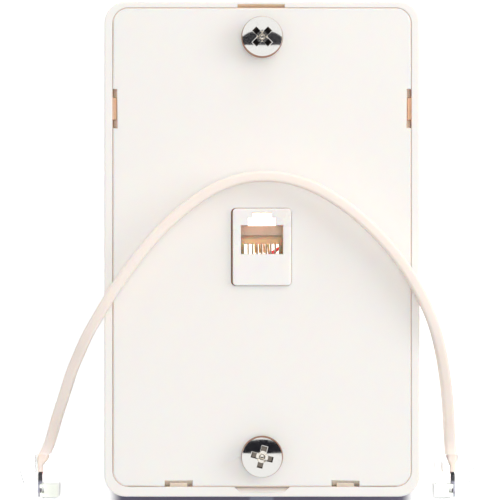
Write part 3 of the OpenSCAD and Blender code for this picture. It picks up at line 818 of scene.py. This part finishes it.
for which, height in stud_height.items():
    bm = bmesh.new()
    bm.from_mesh(stud_head())
    turn = Matrix.Rotation(math.radians(recess_turn[which]), 4, "Z")
    bmesh.ops.transform(bm, verts=bm.verts,
                        matrix=Matrix.Translation((0, height, 0)) @ turn)
    add_piece(bm, which + "_domed_stud", which + "_stud", stud_finish,
              [which + "_stud_screw"], sharp=28)

    # The insert, with straight knurls on two bands and a plain groove between them
    insert_r = 0.0024
    groove_r = insert_r - 0.0002
    knurl_depth = 0.00012
    bore_r = 0.0018
    bm = bmesh.new()
    bmesh.ops.create_circle(bm, cap_ends=False, segments=96, radius=bore_r)
    bmesh.ops.translate(bm, verts=bm.verts, vec=(0, 0, 0.008))
    ring = bm.edges[:]
    levels = [(0.008, groove_r, 0), (0.0082, insert_r, knurl_depth),
              (0.0115, insert_r, knurl_depth), (0.0117, groove_r, 0), (0.0131, groove_r, 0),
              (0.0133, insert_r, knurl_depth), (0.0166, insert_r, knurl_depth),
              (0.017, groove_r, 0), (0.017, bore_r, 0), (0.008, bore_r, 0)]
    for z, r, knurl in levels:
        verts, ring = pull_ring(bm, ring)
        for vert in verts:
            around = math.atan2(vert.co.y, vert.co.x)
            tooth = round(around / math.tau * 96) % 4 // 2
            flat = Vector((math.cos(around), math.sin(around), 0)) * (r - knurl * tooth)
            vert.co = flat + Vector((0, 0, z))
    bmesh.ops.remove_doubles(bm, verts=bm.verts, dist=0.000001)
    bmesh.ops.recalc_face_normals(bm, faces=bm.faces)
    bmesh.ops.translate(bm, verts=bm.verts, vec=(0, height, 0))
    add_piece(bm, which + "_knurled_insert", "box", brass_finish, [which + "_insert"])


# ---- Jack ----
# A modular socket moulded in cooler white plastic, screwed to posts behind the plate. Its keyway
# takes a plug's latch, and a carrier with a comb closes its back; the carrier's tan is painted
# shade.

jack_face = jack_high.z
port_half_width = 0.0052
port_low, port_high = -0.0016, 0.0057


def jack_colour(tree):
    """Cool white with painted shade: tan down the walls of the port, and brown on the sides below
    the face of the plate.
    """
    spot = add_node(tree, "SeparateXYZ", {"Vector": place(tree)}).outputs
    in_x = sum_of(tree, "LESS_THAN", sum_of(tree, "ABSOLUTE", spot["X"]), port_half_width)
    over = sum_of(tree, "LESS_THAN", spot["Y"], port_high)
    below = sum_of(tree, "GREATER_THAN", spot["Y"], port_low)
    port = product(tree, in_x, over, below)
    # Painted shade: the port's walls turn tan with depth, and the sides below the plate's face
    # turn brown
    down = faded(tree, spot["Z"], jack_face - 0.0002, jack_face - 0.003)
    inner = product(tree, port, down)
    outer = product(tree, sum_of(tree, "SUBTRACT", 1.0, port),
                    faded(tree, spot["Z"], face_z, face_z - 0.0008))
    warm = colour_mix(tree, inner, (0.935, 0.89, 0.87, 1), (0.96, 0.80, 0.68, 1))
    return colour_mix(tree, outer, warm, (0.80, 0.50, 0.30, 1))


jack_finish = plastic("jack plastic", jack_colour, 0.01, 0.0003, 0.000004, 0.28,
                      glow=0.7, glow_reach=0.002)
# The carrier's tan colour is painted shade deep inside the port
carrier_finish = plastic("carrier plastic", (0.95, 0.79, 0.61, 1), 0.06, 0.0003, 0.00001, 0.5,
                         glow=1.0, glow_reach=0.004)

bm = cad_copy("jack_housing")
soften(bm, ridges(bm, level_edges(jack_face, True)), 0.0004, 4)
soften(bm, ridges(bm, level_edges(jack_face, False)), 0.00014, 2)
socket = add_piece(bm, "modular_socket", "box", jack_finish, ["jack_housing"])
flatten_shading(socket)

bm = cad_copy("contact_carrier")
soften(bm, ridges(bm, lambda middle, faces: True), 0.00004, 2)
carrier = add_piece(bm, "comb_carrier", "box", carrier_finish,
                    ["contact_carrier"])
flatten_shading(carrier)


# ---- Contact wires ----
# Four gold-plated spring wires. Each rises behind the opening, turns over its edge and runs
# back down into the comb, where a plug's blade presses on it.

contact_radius = 0.00024
hinge = Vector((0, -0.00075, 0.0186))
arm_length = 0.0101
arm_lean = math.radians(10)
tail_y = -0.00225

bm = bmesh.new()
for i in range(4):
    x = (i - 1.5) * contact_pitch
    arm = Vector((0, math.sin(arm_lean), -math.cos(arm_lean))) * arm_length
    spring = bmesh.new()
    start = Vector((x, hinge.y, hinge.z))
    round_bar(spring, [start, start + arm * 0.5, start + arm], contact_radius)
    add_piece(spring, "spring_wire_%d" % (i + 1), "contact_%d" % (i + 1), gold_finish,
              ["contact_wire_%d" % (i + 1)], sharp=60)

    bend = [(x, tail_y, 0.0038), (x, tail_y, 0.010), (x, tail_y, 0.0181)]
    bend += [(x, tail_y + 0.0001, 0.01838), (x, tail_y + 0.00035, 0.0185),
             (x, -0.0014, 0.0185), (x, hinge.y - 0.0003, 0.0185)]
    round_bar(bm, [Vector(p) for p in bend], contact_radius)
add_piece(bm, "wire_tails", "box", gold_finish, ["contact_tails"], sharp=60)


# ---- Terminals ----
# A block of the same ivory plastic on the back of the box, with four nickel-plated terminal
# screws that clamp brass spade lugs.

block_finish = plastic("terminal plastic", ivory, 0.02, 0.0004, 0.000008, 0.42)
for node, name, finish, slot, radius in (
    ("terminal_block", "screw_block", block_finish, "ivory_plastic", 0.00025),
    ("terminal_screws", "clamp_screws", nickel_finish, "nickel", 0.0002),
    ("spade_lugs", "crimped_lugs", brass_finish, "brass", 0.00006),
):
    bm = cad_copy(node)
    soften(bm, ridges(bm, lambda middle, faces: True, 50), radius, 2)
    flatten_shading(add_piece(bm, name, "box", finish, [node]))


# ---- Leads ----
# Four insulated leads soldered to the contact wires. They run flat under the jack, and each
# climbs to its own lug, the red one after a loop of slack.

lead_radius = 0.000425
lug_height = 0.0086 + lead_radius
red_slack = [
    (0.00051, -0.00215, 0.0033), (0.0011, -0.00175, 0.0031), (0.0025, -0.00095, 0.0031),
    (0.0039, 0, 0.0031), (0.0053, 0.0005, 0.0031), (0.0067, 0, 0.0031),
    (0.0074, -0.0016, 0.0031), (0.0076, -0.004, 0.0031),
]
leads = {
    "yellow": (-1.5, -0.0135, []), "green": (-0.5, -0.0045, []),
    "red": (0.5, 0.0135, red_slack), "black": (1.5, 0.0045, []),
}
for colour, (place_in_row, far, slack) in leads.items():
    x = place_in_row * contact_pitch
    start = slack or [(x, -0.0024, 0.0033), (x, -0.003, 0.0031), (x * 1.4, -0.006, 0.0031)]
    turn_x = start[-1][0]
    path = [(x, tail_y, 0.0038)] + start + [
        (turn_x * 0.8 + far * 0.2, -0.009, 0.0031), (far * 0.85 + turn_x * 0.15, -0.014, 0.0031),
        (far, -0.0165, 0.0034), (far, -0.0183, 0.0046), (far, -0.0192, 0.0066),
        (far, -0.0196, 0.0084), (far, -0.0203, lug_height + 0.00005), (far, -0.021, lug_height),
        (far, -0.0227, lug_height),
    ]
    bm = bmesh.new()
    round_bar(bm, smooth_line(path, 4), lead_radius)
    add_piece(bm, colour + "_soldered_lead", "box", wire_finishes[colour],
              [colour + "_lead"], sharp=60)


# ---- Studio ----
# A pale floor in an even white room, with four broad lamps over the box and a small one under
# it that lights the port. The white that is seen is the floor's and the room's own light.

ambient_strength = 0.56
ambient_colour = (0.985, 0.99, 1.0, 1)
floor_glow = 0.4
under_half_width, under_half_height = 0.034, 0.055
card_half_width, card_rise = 0.48, 0.25
card_foot = Vector((0, -0.04, 0.504))
lamp_target = Vector((0, 0, 0.01))


def seen_share(tree):
    """1 for what the camera sees, plainly, mirrored or through the clear plugs, else 0."""
    rays = add_node(tree, "LightPath").outputs
    return sum_of(tree, "MAXIMUM", rays["Is Camera Ray"],
                  sum_of(tree, "MAXIMUM", rays["Is Glossy Ray"], rays["Is Transmission Ray"]))


floor_finish, floor_shader = new_finish("floor", Specular_IOR_Level=0.0)
tree = floor_finish.node_tree
seen = seen_share(tree)
spot = add_node(tree, "SeparateXYZ", {"Vector": place(tree)}).outputs
from_middle = sum_of(tree, "ABSOLUTE", spot["X"])
under_x = sum_of(tree, "LESS_THAN", from_middle, under_half_width)
under_y = sum_of(tree, "LESS_THAN", sum_of(tree, "ABSOLUTE", spot["Y"]), under_half_height)
under = product(tree, under_x, under_y)

# Painted shadow: a dark strip on the floor along the lower edge of the box, less dark in its
# middle
foot = product(tree, faded(tree, spot["Y"], -0.0632, -0.0606),
               sum_of(tree, "LESS_THAN", spot["Y"], -under_half_height),
               faded(tree, from_middle, 0.0375, 0.0335))
open_floor = product(tree, sum_of(tree, "SUBTRACT", 1.0, foot), floor_glow)
glow = sum_of(tree, "MAXIMUM", under, open_floor)
paper = add_node(tree, "TexNoise", {"Vector": place(tree), "Scale": 400.0, "Detail": 2.0})
pale = colour_mix(tree, paper.outputs["Fac"], (0.95, 0.95, 0.95, 1), (0.93, 0.93, 0.93, 1))
painted_shadow_colour = colour_mix(tree, faded(tree, from_middle, 0.0033, 0.0023),
                  (0.14, 0.13, 0.185, 1), (0.22, 0.235, 0.31, 1))
tree.links.new(colour_mix(tree, foot, pale, painted_shadow_colour), floor_shader.inputs["Base Color"])
floor_shader.inputs["Roughness"].default_value = 0.9
floor_shader.inputs["Emission Color"].default_value = (1, 1, 1, 1)
tree.links.new(product(tree, seen, glow), floor_shader.inputs["Emission Strength"])
bm = bmesh.new()
bmesh.ops.create_grid(bm, x_segments=1, y_segments=1, size=1.5)
bmesh.ops.translate(bm, verts=bm.verts, vec=(0, 0, -0.00005))
floor_mesh = mesh_of(bm)
floor_mesh.materials.append(floor_finish)
floor = bpy.data.objects.new("floor", floor_mesh)
scene.collection.objects.link(floor)

room = bpy.data.worlds.new("white room")
scene.world = room
room.use_nodes = True
tree = room.node_tree
seen = seen_share(tree)
ambient = add_node(tree, "Background", {"Color": ambient_colour, "Strength": ambient_strength})
white = add_node(tree, "Background", {"Color": (1, 1, 1, 1), "Strength": 1.0})
mixed = add_node(tree, "MixShader", {0: seen, 1: ambient.outputs[0], 2: white.outputs[0]})
tree.links.new(mixed.outputs[0], tree.nodes["World Output"].inputs["Surface"])

# A dark card over the box, seen only in the mirror of its metal, as the dark part of the domes
card_finish, card_shader = new_finish("card", Specular_IOR_Level=0.0, Roughness=1.0)
card_shader.inputs["Base Color"].default_value = (0.02, 0.02, 0.026, 1)
bm = bmesh.new()
bmesh.ops.create_circle(bm, cap_ends=True, segments=96, radius=1)
bmesh.ops.bisect_plane(bm, geom=bm.verts[:] + bm.edges[:] + bm.faces[:], plane_co=(0, 0, 0),
                       plane_no=(0, -1, 0), clear_outer=True)
bmesh.ops.scale(bm, verts=bm.verts, vec=(card_half_width, card_rise, 1))
bmesh.ops.translate(bm, verts=bm.verts, vec=card_foot)
card_mesh = mesh_of(bm)
card_mesh.materials.append(card_finish)
card = bpy.data.objects.new("card", card_mesh)
card.visible_camera = card.visible_diffuse = card.visible_shadow = False
card.visible_transmission = card.visible_volume_scatter = False
scene.collection.objects.link(card)

# Where each lamp stands, its breadth, its power and its colour
lamps = {
    "side": ((0.608, 0.163, 0.41), 0.5, 1.6, (1.0, 0.99, 0.97)),
    "upper": ((0.169, 0.363, 0.693), 0.5, 0.7, (1.0, 0.99, 0.97)),
    "top": ((0.13, 0.77, 0.17), 0.5, 1.3, (1.0, 0.98, 0.94)),
    "front": ((0.03, 0.02, 0.92), 0.25, 2.1, (1.0, 0.99, 0.98)),
    "behind": ((0.0, 0.0, 0.0003), 0.017, 0.004, (1.0, 0.96, 0.9)),
}
for name, (stand, breadth, power, colour) in lamps.items():
    light = bpy.data.lights.new(name, "AREA")
    light.shape = "DISK"
    light.size = breadth
    light.energy = power
    light.color = colour
    lamp = bpy.data.objects.new(name, light)
    lamp.location = stand
    lamp.rotation_euler = (lamp_target - lamp.location).to_track_quat("-Z", "Y").to_euler()
    lamp.visible_camera = False
    lamp.visible_glossy = False
    scene.collection.objects.link(lamp)
